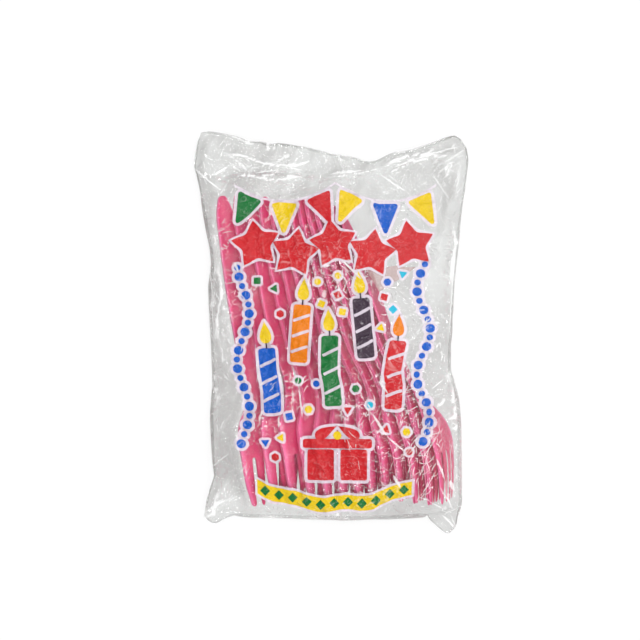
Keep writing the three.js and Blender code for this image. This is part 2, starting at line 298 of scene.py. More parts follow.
def forkPoint(column, along, side):
    tine, spot = divmod(column, len(tineColumns))
    width = forkHalfWidth(along)
    slot = slotHalf(along) if along >= rootAt else forkSize["slotRoot"] * 0.2
    onHead = smoothStep(along, neckAt, lerp(neckAt, rootAt, 0.7))
    onTines = smoothStep(along, rootAt - 2, rootAt + 4)
    pitch = 2 * width / forkSize["tineCount"]
    left = -width + tine * pitch + (slot if tine > 0 else 0)
    right = -width + (tine + 1) * pitch - (slot if tine < forkSize["tineCount"] - 1 else 0)
    toTip = forkEnd - along
    narrow = forkSize["tipPinch"] * (1 - smoothStep(toTip, 0, forkSize["tipRound"]))
    narrow += forkSize["tineTaper"] * (1 - smoothStep(toTip, 0, forkSize["taperLength"]))
    share = tineColumns[spot]
    x = lerp(left, right, lerp(narrow, 1 - narrow, share))
    z = forkBackHeight(along) - forkSize["headCrown"] * onHead * (x / width) ** 2
    rounding = forkSize["tineRound"] * onTines * (2 * share - 1) ** 2
    thin = lerp(1, forkSize["tipWall"], 1 - smoothStep(toTip, 0, forkSize["thinLength"]))
    if side:
        outward = abs(x) / width
        rim = np.interp(outward, *rimProfile)
        onHandle = smoothStep(along, 0, 8) * (1 - onHead)
        z += forkSize["wall"] * thin + forkSize["rimHeight"] * rim * onHandle - rounding
        z += forkSize["headRim"] * smoothStep(outward, 0.86, 0.98) * onHead * (1 - onTines)
    else:
        z += rounding * 0.5
    return Vector((x, -along, z))


def buildFork():
    rows = forkRows()
    columns = len(tineColumns) * forkSize["tineCount"]
    bm = bmesh.new()
    bmesh.ops.create_grid(bm, x_segments=columns - 1, y_segments=len(rows) - 1, size=0.5)
    for vert in bm.verts:
        vert.co.x = round((vert.co.x + 0.5) * (columns - 1))
        vert.co.y = round((vert.co.y + 0.5) * (len(rows) - 1))
    rootRow = rows.index(rootAt)
    gaps = [
        face
        for face in bm.faces
        if face.calc_center_median().y > rootRow
        and int(face.calc_center_median().x) % len(tineColumns) == len(tineColumns) - 1
    ]
    bmesh.ops.delete(bm, geom=gaps, context="FACES")
    bmesh.ops.solidify(bm, geom=bm.faces[:], thickness=1)
    lowest = min(vert.co.z for vert in bm.verts)
    # The rim layer holds where the painted highlight goes: from 0 in the middle to 1 at the fork's
    # edges
    rim = bm.verts.layers.float.new("rim")
    for vert in bm.verts:
        side = vert.co.z - lowest > 0.5
        along = rows[round(vert.co.y)]
        vert.co = forkPoint(round(vert.co.x), along, side)
        outward = abs(vert.co.x) / forkHalfWidth(along)
        vert[rim] = smoothStep(outward, 0.72, 0.97)
    bmesh.ops.recalc_face_normals(bm, faces=bm.faces[:])
    bm.normal_update()
    sharp = [
        edge
        for edge in bm.edges
        if len(edge.link_faces) == 2 and edge.calc_face_angle() > math.radians(50)
    ]
    bmesh.ops.bevel(
        bm,
        geom=sharp,
        offset=forkSize["edgeRound"],
        segments=2,
        profile=0.5,
        affect="EDGES",
        material=-1,
        clamp_overlap=True,
    )
    return bm


# How the forks lean and turn, from the left one to the right one
pileLay = {
    "firstTilt": 18,
    "lastTilt": 64,
    "firstYaw": 8.5,
    "lastYaw": 20.5,
    "nestEvery": 2,
}


# Some forks nest in the one before and lean as it does
def forkTurns():
    steps = [k - (k + 1) // pileLay["nestEvery"] for k in range(len(forkNames))]
    for step in steps:
        tilt = lerp(pileLay["firstTilt"], pileLay["lastTilt"], step / steps[-1])
        yaw = lerp(pileLay["firstYaw"], pileLay["lastYaw"], step / steps[-1])
        yield math.radians(tilt), math.radians(yaw)


def makeForks():
    pattern = buildFork()
    plastic = makeForkPlastic()
    forks = []
    for name, (tilt, yaw) in zip(forkNames, forkTurns()):
        bm = pattern.copy()
        turn = Euler((0, tilt, yaw), "XYZ").to_matrix()
        bmesh.ops.transform(bm, matrix=turn.to_4x4(), verts=bm.verts)
        low, high = (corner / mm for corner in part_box(name))
        places = np.array([vert.co for vert in bm.verts])
        middle = Vector((places.min(0) + places.max(0)) / 2)
        bmesh.ops.translate(bm, vec=(low + high) / 2 - middle, verts=bm.verts)
        fork = finishPiece(bm, name.replace("fork_", "pinkFork"), plastic)
        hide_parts(name)
        forks.append(fork)
    pattern.free()
    print(f"forks: {len(forks)} of {len(forks[0].data.polygons)} faces")
    return forks


forks = makeForks()


bagSize = {
    "sideHem": 1,
    "bottomSeal": 1.2,
    "edgeHeight": 4.5,
    "edgeWave": 1.2,
    "backRise": 12,
    "backHeight": 0.2,
    "overForks": 0.35,
    "overCad": 1.5,
    "filmGap": 0.05,
    "floorGap": 0.1,
    "drawPasses": ((4, 500), (2, 300), (1, 120)),
    "airLift": 0.0004,
    "cell": 0.75,
}
# The film's edges, as pixels of the photo's 640 by 640 frame, upwards or to the right
pixel = 0.52
photoMiddle = (331.3, 333.25)
bagEdges = {
    "left": (
        (203.4, 516.2), (206.6, 506), (211, 490), (215.5, 476), (214, 455), (212.6, 415),
        (214.6, 388), (213, 348), (211, 308), (210.6, 286), (213.6, 266), (211.6, 248),
        (207.6, 227), (202, 195), (197.5, 174), (195.2, 165.6), (197.3, 149.5), (200.2, 131.3),
    ),
    "right": (
        (456.2, 527.7), (459.9, 502), (459, 488), (458.5, 468), (458.4, 428), (457, 404),
        (453.6, 386), (448.4, 373), (448.4, 356), (449.8, 334), (451.4, 308), (452.6, 286),
        (455, 254), (458, 227), (461, 208), (465, 182), (467.6, 158), (466, 147), (461, 139),
    ),
    "bottom": (
        (203.4, 516.2), (209, 521), (215.5, 523.5), (224, 518), (232.9, 514.6), (260, 515.6),
        (300, 516.6), (345, 517), (390, 516.4), (420, 514.6), (429, 515.6), (432.5, 521.7),
        (440, 528), (448.5, 535), (456.2, 527.7),
    ),
    "top": (
        (200.2, 131.3), (216, 133.5), (234, 136.5), (243, 140.8), (248, 142), (260, 142),
        (266, 145), (272, 145), (278, 143.8), (302, 147.5), (320, 151.5), (340, 156.5),
        (352, 157.5), (360, 161), (369, 163), (377, 162), (386, 157), (395, 152.5),
        (407, 152), (421, 147.5), (435, 143), (455.5, 135.3), (461, 139),
    ),
}
# The lower edge of the top seal, from left to right
sealEdge = (
    (195, 166), (208, 175), (222, 178), (232, 175.2), (255, 174.3), (282, 175), (306, 178),
    (335, 177), (362, 173.6), (389, 173), (413, 164), (440, 155), (468, 144.6),
)


def atPixel(spot):
    return (spot[0] - photoMiddle[0]) * pixel, (photoMiddle[1] - spot[1]) * pixel


# How far out an edge lies at each share of its way
def edgeThrough(name, axis):
    places = np.array([atPixel(spot) for spot in bagEdges[name]])
    way = places[:, axis]
    shares = (way - way[0]) / (way[-1] - way[0])
    return lambda share: np.interp(share, shares, places[:, 1 - axis])


leftEdge, rightEdge = edgeThrough("left", 1), edgeThrough("right", 1)
bottomEdge, topEdge = edgeThrough("bottom", 0), edgeThrough("top", 0)
bagWidth = float(rightEdge(0.5) - leftEdge(0.5))
bagLength = float(topEdge(0.5) - bottomEdge(0.5))


# Where a share across and a share up the bag lie, seen from above
def planPlace(u, v):
    return lerp(leftEdge(v), rightEdge(v), u), lerp(bottomEdge(u), topEdge(u), v)


def planShares(x, y):
    u, v = np.full_like(x, 0.5), np.full_like(x, 0.5)
    for _ in range(8):
        left, right = leftEdge(v), rightEdge(v)
        u = np.clip((x - left) / (right - left), 0, 1)
        bottom, top = bottomEdge(u), topEdge(u)
        v = np.clip((y - bottom) / (top - bottom), 0, 1)
    return u, v


def seamHeight(u, v):
    slow = np.sin(9 * u + 2) * np.cos(5 * v) + 0.5 * np.sin(15 * v + 4 * u)
    return bagSize["edgeHeight"] + bagSize["edgeWave"] * slow


# The film lies on a grid of cells; the outermost rows and columns are its rim
acrossCount = 4 * round(bagWidth / bagSize["cell"] / 4)
alongCount = 4 * round(bagLength / bagSize["cell"] / 4)
gridU, gridV = np.meshgrid(
    np.linspace(0, 1, acrossCount + 1), np.linspace(0, 1, alongCount + 1), indexing="ij"
)
gridX, gridY = planPlace(gridU, gridV)
seamGrid = seamHeight(gridU, gridV)
toSide = np.minimum(gridU, 1 - gridU) * bagWidth
toBottom = gridV * bagLength
toTop = (1 - gridV) * bagLength
sealPlaces = np.array([atPixel(spot) for spot in sealEdge])
toSeal = np.interp(gridX, sealPlaces[:, 0], sealPlaces[:, 1]) - gridY
toEdge = np.minimum(toSide, np.minimum(toBottom, toTop))
toRim = np.minimum(np.minimum(toSide, toBottom), toSeal)
isOpen = (toSide > bagSize["sideHem"]) & (toBottom > bagSize["bottomSeal"]) & (toSeal > 0)
isSealed = toSeal < 1
rimRise = np.clip(1 - toRim / bagSize["backRise"], 0, 1) ** 2
farAway = 100


# How high the forks reach and how low they come under each point of the grid
def forkReach():
    tree = BVHTree.FromPolygons(
        [vert.co / mm for fork in forks for vert in fork.data.vertices],
        [
            [index + offset for index in face.vertices]
            for fork, offset in zip(forks, np.cumsum([0] + [len(f.data.vertices) for f in forks]))
            for face in fork.data.polygons
        ],
    )
    highest = np.zeros(gridX.shape)
    lowest = np.full(gridX.shape, 10.0 * farAway)
    up, down = Vector((0, 0, 1)), Vector((0, 0, -1))
    for i, j in np.ndindex(gridX.shape):
        if not isOpen[i, j]:
            continue
        x, y = gridX[i, j], gridY[i, j]
        hit = tree.ray_cast(Vector((x, y, farAway)), down)[0]
        if hit:
            highest[i, j] = hit.z
            lowest[i, j] = tree.ray_cast(Vector((x, y, -farAway)), up)[0].z
    return highest, lowest


def widest(grid, reach, pick):
    result = grid.copy()
    for di in range(-reach, reach + 1):
        for dj in range(-reach, reach + 1):
            result = pick(result, np.roll(grid, (di, dj), (0, 1)))
    return result


def meanOfNear(sheet):
    return (
        np.roll(sheet, 1, 0) + np.roll(sheet, -1, 0) + np.roll(sheet, 1, 1) + np.roll(sheet, -1, 1)
    ) / 4


# A sheet drawn tight over what lies under it: each point sinks to the mean of its neighbours
def drawTight(sheet, under, free, passes, lift):
    for _ in range(passes):
        sheet = np.where(free, np.maximum(meanOfNear(sheet) + lift, under), sheet)
    return sheet


def coarser(grid, step):
    return grid[::step, ::step]


# The values of a grid between its points
def onGrid(grid, rows, columns):
    i = np.clip(np.floor(rows).astype(int), 0, grid.shape[0] - 2)
    j = np.clip(np.floor(columns).astype(int), 0, grid.shape[1] - 2)
    s, t = rows - i, columns - j
    if grid.ndim == 3:
        s, t = s[..., None], t[..., None]
    low = grid[i, j] * (1 - s) + grid[i + 1, j] * s
    high = grid[i, j + 1] * (1 - s) + grid[i + 1, j + 1] * s
    return low * (1 - t) + high * t


def finer(grid, shape):
    ways = [np.linspace(0, size - 1, count) for size, count in zip(grid.shape, shape)]
    return onGrid(grid, *np.meshgrid(*ways, indexing="ij"))


# Slow noise over the bag, from -1 to 1
def drift(size, seed):
    field = np.zeros(gridX.shape)
    for i, j in np.ndindex(gridX.shape):
        field[i, j] = noise.noise(Vector((gridX[i, j] / size, gridY[i, j] / size, seed)))
    return np.clip(field * 1.6, -1, 1)


# How the film crumples: its spare length is used up at three scales, coarse to fine
crumple = {
    "steps": (4, 2, 1),
    "passes": (260, 170, 110),
    "spare": (0.014, 0.012, 0.010),
    "stiffness": (0.02, 0.02, 0.03),
    "start": (0.8, 0.3, 0.1),
    "alongShare": 0.8,
    "calmSpan": (0.3, 5),
    "patchSize": 26,
    "patchShare": 0.45,
    "sink": 0.001,
    "facets": ((0.35, 19, 0.9), (1.2, 15, 0.7), (1.9, 24, 1.0), (2.7, 12, 0.6)),
    "facetBend": 0.16,
    "sealFacets": 0.5,
    "back": ((0.5, 9, 1.7), (0.2, 4, 6.7)),
    "creaseShare": (0.87, 0.975),
}


# The first and the second points of every second pair in a row
def pairSlices(count, parity):
    end = parity + (count - parity) // 2 * 2
    return slice(parity, end, 2), slice(parity + 1, end, 2)


# Points of a sheet push each other out to their spare length, and the sheet buckles
def settleSheet(points, under, free, spareAcross, spareAlong, stiffness, passes):
    across, along = points.shape[:2]
    held = free[..., None].astype(float)
    shifts = {
        0: (slice(None), slice(None)),
        1: (slice(0, -1), slice(1, None)),
        -1: (slice(1, None), slice(0, -1)),
    }
    links = []
    for di, dj in ((1, 0), (0, 1), (1, 1), (1, -1)):
        for parity in (0, 1):
            if di:
                a, b = zip(pairSlices(across, parity), shifts[dj])
            else:
                a, b = zip(shifts[0], pairSlices(along, parity))
            spare = (spareAcross * abs(di) + spareAlong * abs(dj)) / (abs(di) + abs(dj))
            rest = np.linalg.norm(points[b] - points[a], axis=-1, keepdims=True)
            rest = rest * (1 + (spare[a] + spare[b])[..., None] / 2)
            weights = held[a] + held[b]
            share = np.divide(held[a], weights, out=np.zeros_like(weights), where=weights > 0)
            links.append((a, b, rest, share, np.where(weights > 0, 1 - share, 0)))
    for _ in range(passes):
        points[..., 2] -= crumple["sink"] * free
        for a, b, rest, shareA, shareB in links:
            way = points[b] - points[a]
            length = np.linalg.norm(way, axis=-1, keepdims=True)
            way *= (length - rest) / length
            points[a] += way * shareA
            points[b] -= way * shareB
        bend = meanOfNear(points) - points
        bend = meanOfNear(bend) - bend
        points -= stiffness * bend * held
        low = free & (points[..., 2] < under)
        points[..., 2] = np.where(low, under, points[..., 2])
    return points


# Long folds, as pixels of the photo: start, end, height, width in mm
longFolds = [
    ((205, 262), (214, 395), 1.6, 2.2),
    ((222, 250), (226, 360), 1.2, 1.8),
    ((212, 180), (236, 240), 1.4, 2.0),
    ((203, 140), (250, 176), 1.2, 2.4),
    ((240, 178), (330, 181), 0.9, 1.6),
    ((330, 181), (462, 150), 1.5, 2.0),
    ((458, 172), (447, 300), 1.8, 1.6),
    ((447, 200), (449, 340), 1.2, 1.5),
    ((452, 300), (449, 402), 1.0, 1.5),
    ((462, 150), (440, 232), 1.3, 2.2),
    ((214, 470), (236, 410), 1.2, 2.0),
    ((206, 515), (240, 494), 1.4, 2.0),
    ((228, 478), (216, 512), 1.0, 1.6),
    ((452, 520), (444, 480), 1.3, 1.8),
    ((404, 168), (436, 150), 1.0, 1.5),
    ((226, 158), (300, 170), 0.8, 1.5),
]


# Straight folds that cross each other at a few angles, as flat facets with crisp ridges
def facetHeights():
    field = np.zeros(gridX.shape)
    for k, (angle, size, height) in enumerate(crumple["facets"]):
        bend = crumple["facetBend"] * size * drift(2.2 * size, 9.1 + k)
        way = gridX * math.cos(angle) + gridY * math.sin(angle) + bend
        share = np.abs(2 * (way / size % 1) - 1)
        field += height * (1 - share) * np.clip(0.5 + drift(1.6 * size, 5.3 + k), 0, 1)
    return field


def foldHeights():
    field = np.zeros(gridX.shape)
    for start, end, height, width in longFolds:
        (x0, y0), (x1, y1) = atPixel(start), atPixel(end)
        wayX, wayY = x1 - x0, y1 - y0
        length = math.hypot(wayX, wayY)
        along = ((gridX - x0) * wayX + (gridY - y0) * wayY) / length
        off = ((gridX - x0) * wayY - (gridY - y0) * wayX) / length
        off = off + 1.3 * np.sin(along * 0.16 + height * 9)
        fade = smoothStep(along, -6, 6) * (1 - smoothStep(along, length - 8, length + 8))
        sharp = np.exp(-np.abs(off) / width)
        field += height * fade * sharp
    return field


# The front film drawn tight over the forks, and the back film turned up to the rim
def drapeFilm():
    highest, lowest = forkReach()
    over = widest(lowest, 2, np.minimum) - bagSize["overForks"]
    back = lerp(bagSize["backHeight"], seamGrid, rimRise)
    back = np.where(isOpen, np.clip(over, bagSize["backHeight"], back), seamGrid)
    under = np.maximum(widest(highest, 1, np.maximum), bagSize["backHeight"])
    under = np.maximum(under + bagSize["overForks"], back + bagSize["overForks"])
    front = np.where(isOpen, under, seamGrid)
    for step, passes in bagSize["drawPasses"]:
        part = [coarser(grid, step) for grid in (front, under, isOpen)]
        drawn = drawTight(*part, passes, bagSize["airLift"] * step * step)
        if step > 1:
            front = np.where(isOpen, np.maximum(finer(drawn, front.shape), under), front)
        else:
            front = drawn
    print("film: drawn over the forks")
    return front, back, under, over, highest > 0


def crumpleFilm(front, under):
    calm = smoothStep(toEdge, *crumple["calmSpan"])
    share = crumple["patchShare"]
    patchy = (1 - share) + share * drift(crumple["patchSize"], 2.2)
    tight = np.stack([gridX, gridY, front], -1)
    points = tight.copy()
    for level, step in enumerate(crumple["steps"]):
        points[..., 2] += crumple["start"][level] * drift(3.2 * step, 4.0 + level) * calm
        spare = crumple["spare"][level] * coarser(patchy, step)
        settled = settleSheet(
            coarser(points, step).copy(),
            coarser(np.where(isSealed, -farAway, under), step),
            coarser(toEdge, step) > crumple["calmSpan"][0],
            spare, spare * crumple["alongShare"],
            crumple["stiffness"][level], crumple["passes"][level],
        )
        moved = settled - coarser(tight, step)
        if step > 1:
            moved = finer(moved, front.shape)
        points = tight + moved
    facets = facetHeights() * np.where(isSealed, crumple["sealFacets"], 1)
    height = points[..., 2] + (foldHeights() + facets) * calm
    height = np.where(isSealed, height, np.maximum(height, under))
    points[..., 2] = np.minimum(height, cadBox[1].z / mm + bagSize["overCad"])
    print("film: crumpled")
    return points


# The back stays under the front, and the two meet all round the rim
def backUnder(points, back, over):
    wrinkled = sum(height * drift(size, seed) for height, size, seed in crumple["back"])
    frontLow = widest(points[..., 2], 1, np.minimum) - bagSize["filmGap"]
    back = np.where(isOpen, np.maximum(back + wrinkled * rimRise, bagSize["floorGap"]), frontLow)
    back = np.where(isOpen, np.minimum(back, np.maximum(over, bagSize["floorGap"])), back)
    backPoints = points.copy()
    backPoints[..., 2] = np.where(toEdge == 0, points[..., 2], np.minimum(back, frontLow))
    return backPoints


tightFront, tightBack, leastHeight, mostHeight, overFork = drapeFilm()
frontPoints = crumpleFilm(tightFront, leastHeight)
backPoints = backUnder(frontPoints, tightBack, mostHeight)
wrinkles = frontPoints[..., 2] - tightFront


# Where the painted shade lies on the film: greyer on the left, below the seal's edge and on one
# side of the folds
paintedShadeLay = {
    "left": 0.22,
    "leftSpan": (0.02, 0.24),
    "underSeal": 0.1,
    "underSealWidth": 5,
    "slope": 1.2,
    "slopeSpan": (-0.25, 0.5),
}


# How sharp each ridge of the film is, from 0 to 1: the sharpest carry painted glints
def creaseShares():
    ridge = wrinkles - meanOfNear(meanOfNear(wrinkles))
    low, high = np.quantile(ridge[isOpen], crumple["creaseShare"])
    return smoothStep(ridge, low, high) * np.clip(toTop, 0, 1) * np.clip(toSide, 0, 1)


# How much painted shade greys the film, from 0 to 1, where no fork is right under it: on the
# left, below the seal's edge and on the sides of the folds
def paintedShadeShares():
    bare = np.where(overFork, 0.0, 1.0)
    height = frontPoints[..., 2]
    for _ in range(4):
        bare, height = meanOfNear(bare), meanOfNear(height)
    left = (1 - smoothStep(gridU, *paintedShadeLay["leftSpan"])) * smoothStep(toSeal, -2, 2)
    underSeal = np.where(toSeal > 0, np.exp(-toSeal / paintedShadeLay["underSealWidth"]), 0)
    slope = (np.gradient(height, axis=0) - 0.5 * np.gradient(height, axis=1)) / bagSize["cell"]
    side = np.clip(paintedShadeLay["slope"] * slope, *paintedShadeLay["slopeSpan"]) * np.clip(toSide / 3, 0, 1)
    hazeAndShadeGrey = (paintedShadeLay["left"] * left + side) * bare + paintedShadeLay["underSeal"] * underSeal
    return np.clip(hazeAndShadeGrey, 0, 1)


creaseGrid = creaseShares()
paintedShadeGrid = paintedShadeShares()


filmFinish = {
    "clear": (0.89, 0.895, 0.89, 1),
    # the grey for random smoky patches in the film and for the painted shade
    "hazeAndShadeGrey": (0.74, 0.735, 0.73, 1),
    "smokeSize": 28,
    "smokeSpan": (0.4, 0.75),
    "smokeMost": 0.5,
    # the white of the film's haze and of the painted glints along its creases
    "hazeAndGlint": (0.93, 0.93, 0.93, 1),
    "haze": 0.012,
    "shine": 1.5,
    "mostShine": 0.3,
    "roughness": 0.05,
    "creaseSizes": (120, 300),
    "creaseSpan": (1.22, 1.65),
    "creaseStrength": 0.5,
    "creaseDepth": 0.0012,
    "creaseGlint": 0.62,
    "fineHeight": 0.35,
    "fineGlint": 0.75,
    "patchSize": 34,
    "patchSpan": (0.42, 0.62),
}
ridgeNoise = {
    "Detail": 1.5,
    "Roughness": 0.6,
    "Lacunarity": 2.2,
    "Offset": 1.0,
    "Gain": 1.0,
    "Distortion": 0.7,
}


# Fine creases in the film: ridges for the bump, and a share of painted glint along each one
def addCreases(tree, place):
    patches = addNoise(tree, place, {"Scale": filmFinish["patchSize"], "Detail": 1})
    patchy = addStep(tree, patches, filmFinish["patchSpan"])
    ridges = [
        addNoise(
            tree, place, {"Scale": size, **ridgeNoise},
            noise_type="RIDGED_MULTIFRACTAL", normalize=False,
        )
        for size in filmFinish["creaseSizes"]
    ]
    marks = [addStep(tree, ridge, filmFinish["creaseSpan"]) for ridge in ridges]
    fine = addMath(tree, "MULTIPLY", addMath(tree, "MAXIMUM", *marks), filmFinish["fineGlint"])
    crease = addMath(tree, "MAXIMUM", fine, addAttribute(tree, "crease"))
    white = addMath(tree, "MULTIPLY", crease, patchy)
    height = addMath(tree, "MULTIPLY_ADD", ridges[1], filmFinish["fineHeight"], ridges[0])
    bump = addBump(tree, height, filmFinish["creaseStrength"], filmFinish["creaseDepth"])
    return bump, white


def makeFilm():
    material, tree, place = newMaterial("clearFilm")
    bump, white = addCreases(tree, place)
    clouds = addNoise(tree, place, {"Scale": filmFinish["smokeSize"], "Detail": 3})
    thick = addStep(tree, clouds, filmFinish["smokeSpan"], top=filmFinish["smokeMost"])
    # random smoky patches plus the painted shade, which greys the film
    greyness = addMath(tree, "ADD", thick, addAttribute(tree, "paintedShade"), use_clamp=True)
    tone = addTint(tree, greyness, filmFinish["clear"], filmFinish["hazeAndShadeGrey"])
    clear = addNode(tree, "ShaderNodeBsdfTransparent", {"Color": tone})
    hazeAndGlint = addNode(tree, "ShaderNodeBsdfDiffuse", {"Color": filmFinish["hazeAndGlint"]})
    # the film's haze, plus painted glints along its creases as a white veil
    share = addMath(tree, "MULTIPLY_ADD", white, filmFinish["creaseGlint"], filmFinish["haze"])
    clearWithHazeAndGlints = mixShaders(tree, share, clear.outputs["BSDF"], hazeAndGlint.outputs["BSDF"])
    glossValues = {"Roughness": filmFinish["roughness"], "Normal": bump}
    gloss = addNode(tree, "ShaderNodeBsdfGlossy", glossValues)
    edge = addNode(tree, "ShaderNodeFresnel", {"IOR": filmFinish["shine"], "Normal": bump})
    capped = addMath(tree, "MINIMUM", edge.outputs["Fac"], filmFinish["mostShine"])
    addSurface(tree, mixShaders(tree, capped, clearWithHazeAndGlints, gloss.outputs["BSDF"]))
    return material


def filmSide(bm, points, faceDown):
    crease, paintedShade = (bm.verts.layers.float[name] for name in ("crease", "paintedShade"))
    made = bmesh.ops.create_grid(bm, x_segments=acrossCount, y_segments=alongCount, size=0.5)
    for vert in made["verts"]:
        i = round((vert.co.x + 0.5) * acrossCount)
        j = round((vert.co.y + 0.5) * alongCount)
        vert.co = points[i, j]
        vert[paintedShade] = paintedShadeGrid[i, j]
        if not faceDown:
            vert[crease] = creaseGrid[i, j]
    if faceDown:
        faces = list({face for vert in made["verts"] for face in vert.link_faces})
        bmesh.ops.reverse_faces(bm, faces=faces)


def makeBag():
    bm = bmesh.new()
    for name in ("crease", "paintedShade"):
        bm.verts.layers.float.new(name)
    filmSide(bm, frontPoints, False)
    filmSide(bm, backPoints, True)
    bmesh.ops.remove_doubles(bm, verts=bm.verts[:], dist=0.001)
    bm.normal_update()
    for edge in bm.edges:
        signs = [face.normal.z > 0 for face in edge.link_faces]
        if len(signs) == 2 and signs[0] != signs[1]:
            edge.smooth = False  # the fold or seam between front and back stays crisp
    bag = finishPiece(bm, "filmBag", makeFilm())
    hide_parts("film_bag")
    print(f"bag: {len(bag.data.polygons)} faces")


makeBag()


# Print on the front film: bright party motifs, each on a pale outline. Places are
# millimetres from the middle of the bag, and inks are colour, opacity
inks = {
    "pale": ((0.70, 0.62, 0.70, 1), 0.76),
    "red": ((0.52, 0.006, 0.011, 1), 0.92),
    "yellow": ((0.72, 0.50, 0.001, 1), 0.93),
    "green": ((0.001, 0.14, 0.025, 1), 0.95),
    "blue": ((0.0, 0.085, 0.46, 1), 0.96),
    "orange": ((0.70, 0.18, 0.001, 1), 0.95),
    "plum": ((0.035, 0.018, 0.035, 1), 0.94),
    "cyan": ((0.01, 0.42, 0.60, 1), 0.92),
    # painted glints: white slivers along the sharp folds and crackles, laid on the film like the
    # print
    "white": ((0.95, 0.95, 0.95, 1), 0.6),
    "rose": ((0.44, 0.30, 0.285, 1), 0.62),
}
# A dull rose patch on the film, as pixels of the photo
rosePatch = ((363, 266), (372, 281.5), (377.5, 292), (394, 281), (413, 266.5))
printLay = {
    "outline": 1.5,
    "smallOutline": 1.2,
    "paleLift": 0.05,
    "inkLift": 0.09,
    "detailLift": 0.12,
    "creaseLift": 0.15,
    "roseLift": 0.03,
    "gloss": 0.16,
    "specular": 0.3,
    "speckSize": 900,
    "speckTone": 0.82,
    # how much painted glint shows over the print along the film's creases
    "printGlintShare": 0.35,
    "confetti": 26,
    "confettiGap": 7.6,
}
# Sharp folds with painted glints along them, as pixels of the photo: start, end, width in mm
sharpFolds = (
    ((419.8, 490.2), (433, 466.7), 0.4), ((417.8, 456.5), (432, 434), 0.4),
    ((405, 450.4), (413.7, 441.2), 0.45), ((416.7, 492.2), (428, 495.3), 0.4),
    ((422.3, 459.6), (424.9, 445.3), 0.35), ((427.4, 496.3), (449.4, 510.6), 0.5),
    ((441.2, 515.7), (454.5, 527), 0.45), ((428, 388), (438, 380), 0.5),
    ((197.2, 166.8), (218.8, 187.4), 0.6), ((214.5, 175.5), (228.6, 168), 1.2),
    ((277, 166), (288, 158), 1.0), ((292.5, 170), (308.8, 164.7), 1.1),
    ((222, 194), (228.6, 183), 0.45), ((352, 178), (380, 172), 0.5),
    ((424, 160), (452, 150), 0.6), ((433, 176), (446, 198), 0.5),
    ((214, 470), (232, 452), 0.45), ((208, 512), (226, 500), 0.5),
    ((216, 262), (219, 330), 0.45), ((448, 250), (444, 330), 0.4),
    ((443.9, 519), (453.9, 527.7), 0.4), ((449.9, 516.3), (455.2, 527), 0.35),
    ((442.5, 517), (457.9, 505.6), 0.4), ((436.5, 483), (449.5, 508), 0.45),
    ((196.5, 167.5), (221.5, 188.8), 0.5), ((330, 177.2), (339, 175.6), 0.5),
    ((345, 175.2), (362, 174), 0.4), ((395, 170), (413, 164.4), 0.5),
    ((416, 163), (436, 157), 0.5), ((438, 155), (460, 146.5), 0.45),
    ((379, 177), (405, 192), 0.7), ((389, 178), (398, 184), 0.4), ((444, 165), (462, 150), 0.5),
    ((236, 139), (246, 144), 0.5), ((255, 175), (276, 173), 0.5), ((290, 171), (302, 173), 0.6),
    ((371, 412), (384, 432), 1.3), ((392, 470), (399, 482), 1.5), ((385, 433), (402, 447), 0.8),
    ((300, 388), (303, 415), 0.9), ((377, 380), (386, 392), 0.9), ((343, 262), (360, 279), 1.1),
    ((433, 455), (441, 476), 0.9), ((446, 479), (449, 490), 1.4), ((238, 262), (242, 272), 1.2),
)

# Where the film glints with short creases: pixels of the photo, spread in pixels across and
# up, main angle, number
crackles = (
    ((351, 275), (16, 18), -50, 20), ((362, 402), (14, 16), -55, 14),
    ((378, 378), (10, 10), -55, 8), ((411, 432), (18, 20), 60, 30),
    ((394, 450), (12, 14), 55, 16), ((424, 476), (16, 22), 62, 26),
    ((230, 248), (8, 6), 20, 7), ((240, 295), (8, 6), 10, 7), ((223, 233), (7, 4), 25, 4),
    ((231, 224), (6, 6), 40, 4), ((366, 420), (12, 10), 50, 12), ((404, 396), (8, 20), 30, 10),
    ((412, 450), (14, 10), 60, 16), ((430, 440), (10, 16), 70, 10), ((340, 300), (12, 14), -50, 8),
    ((303, 402), (6, 14), 85, 8), ((303, 380), (8, 8), 70, 6), ((271, 384), (10, 8), 60, 6),
    ((449, 168), (20, 26), 50, 26), ((206, 188), (8, 14), -60, 9), ((224, 287), (6, 20), 80, 9),
    ((214, 325), (4, 30), 86, 10), ((222, 421), (8, 22), 75, 9), ((415, 318), (12, 16), 60, 10),
    ((432, 351), (10, 16), 70, 7), ((383, 306), (8, 10), -50, 5), ((258, 168), (30, 6), 20, 14),
    ((292, 166), (14, 10), 40, 10), ((236, 344), (8, 14), 70, 6), ((440, 205), (8, 24), 75, 12),
    ((420, 456), (10, 10), -20, 8), ((245, 470), (10, 14), 60, 6), ((352, 440), (14, 14), -60, 7),
)


# A convex shape with round corners, grown by a margin
def roundedShape(corners, radius, grow):
    outline = []
    for k, corner in enumerate(corners):
        before = Vector(corners[k - 1]) - Vector(corner)
        after = Vector(corners[(k + 1) % len(corners)]) - Vector(corner)
        half = before.angle(after) / 2
        middle = Vector(corner) + (before.normalized() + after.normalized()).normalized() * (
            radius / math.sin(half)
        )
        out = math.atan2(corner[1] - middle.y, corner[0] - middle.x)
        swing = math.pi / 2 - half
        for t in (-1, -0.5, 0, 0.5, 1):
            angle = out + t * swing
            outline.append((
                middle.x + (radius + grow) * math.cos(angle),
                middle.y + (radius + grow) * math.sin(angle),
            ))
    return outline


# A shape given by its radius at each angle
def turnedShape(radiusAt, grow=0.0, steps=60):
    angles = [2 * math.pi * k / steps for k in range(steps)]
    reach = [radiusAt(angle) + grow for angle in angles]
    return [(r * math.cos(angle), r * math.sin(angle)) for r, angle in zip(reach, angles)]


def regularShape(sides, size, grow=0.0):
    return roundedShape(turnedShape(lambda angle: size, steps=sides), size * 0.12, grow)


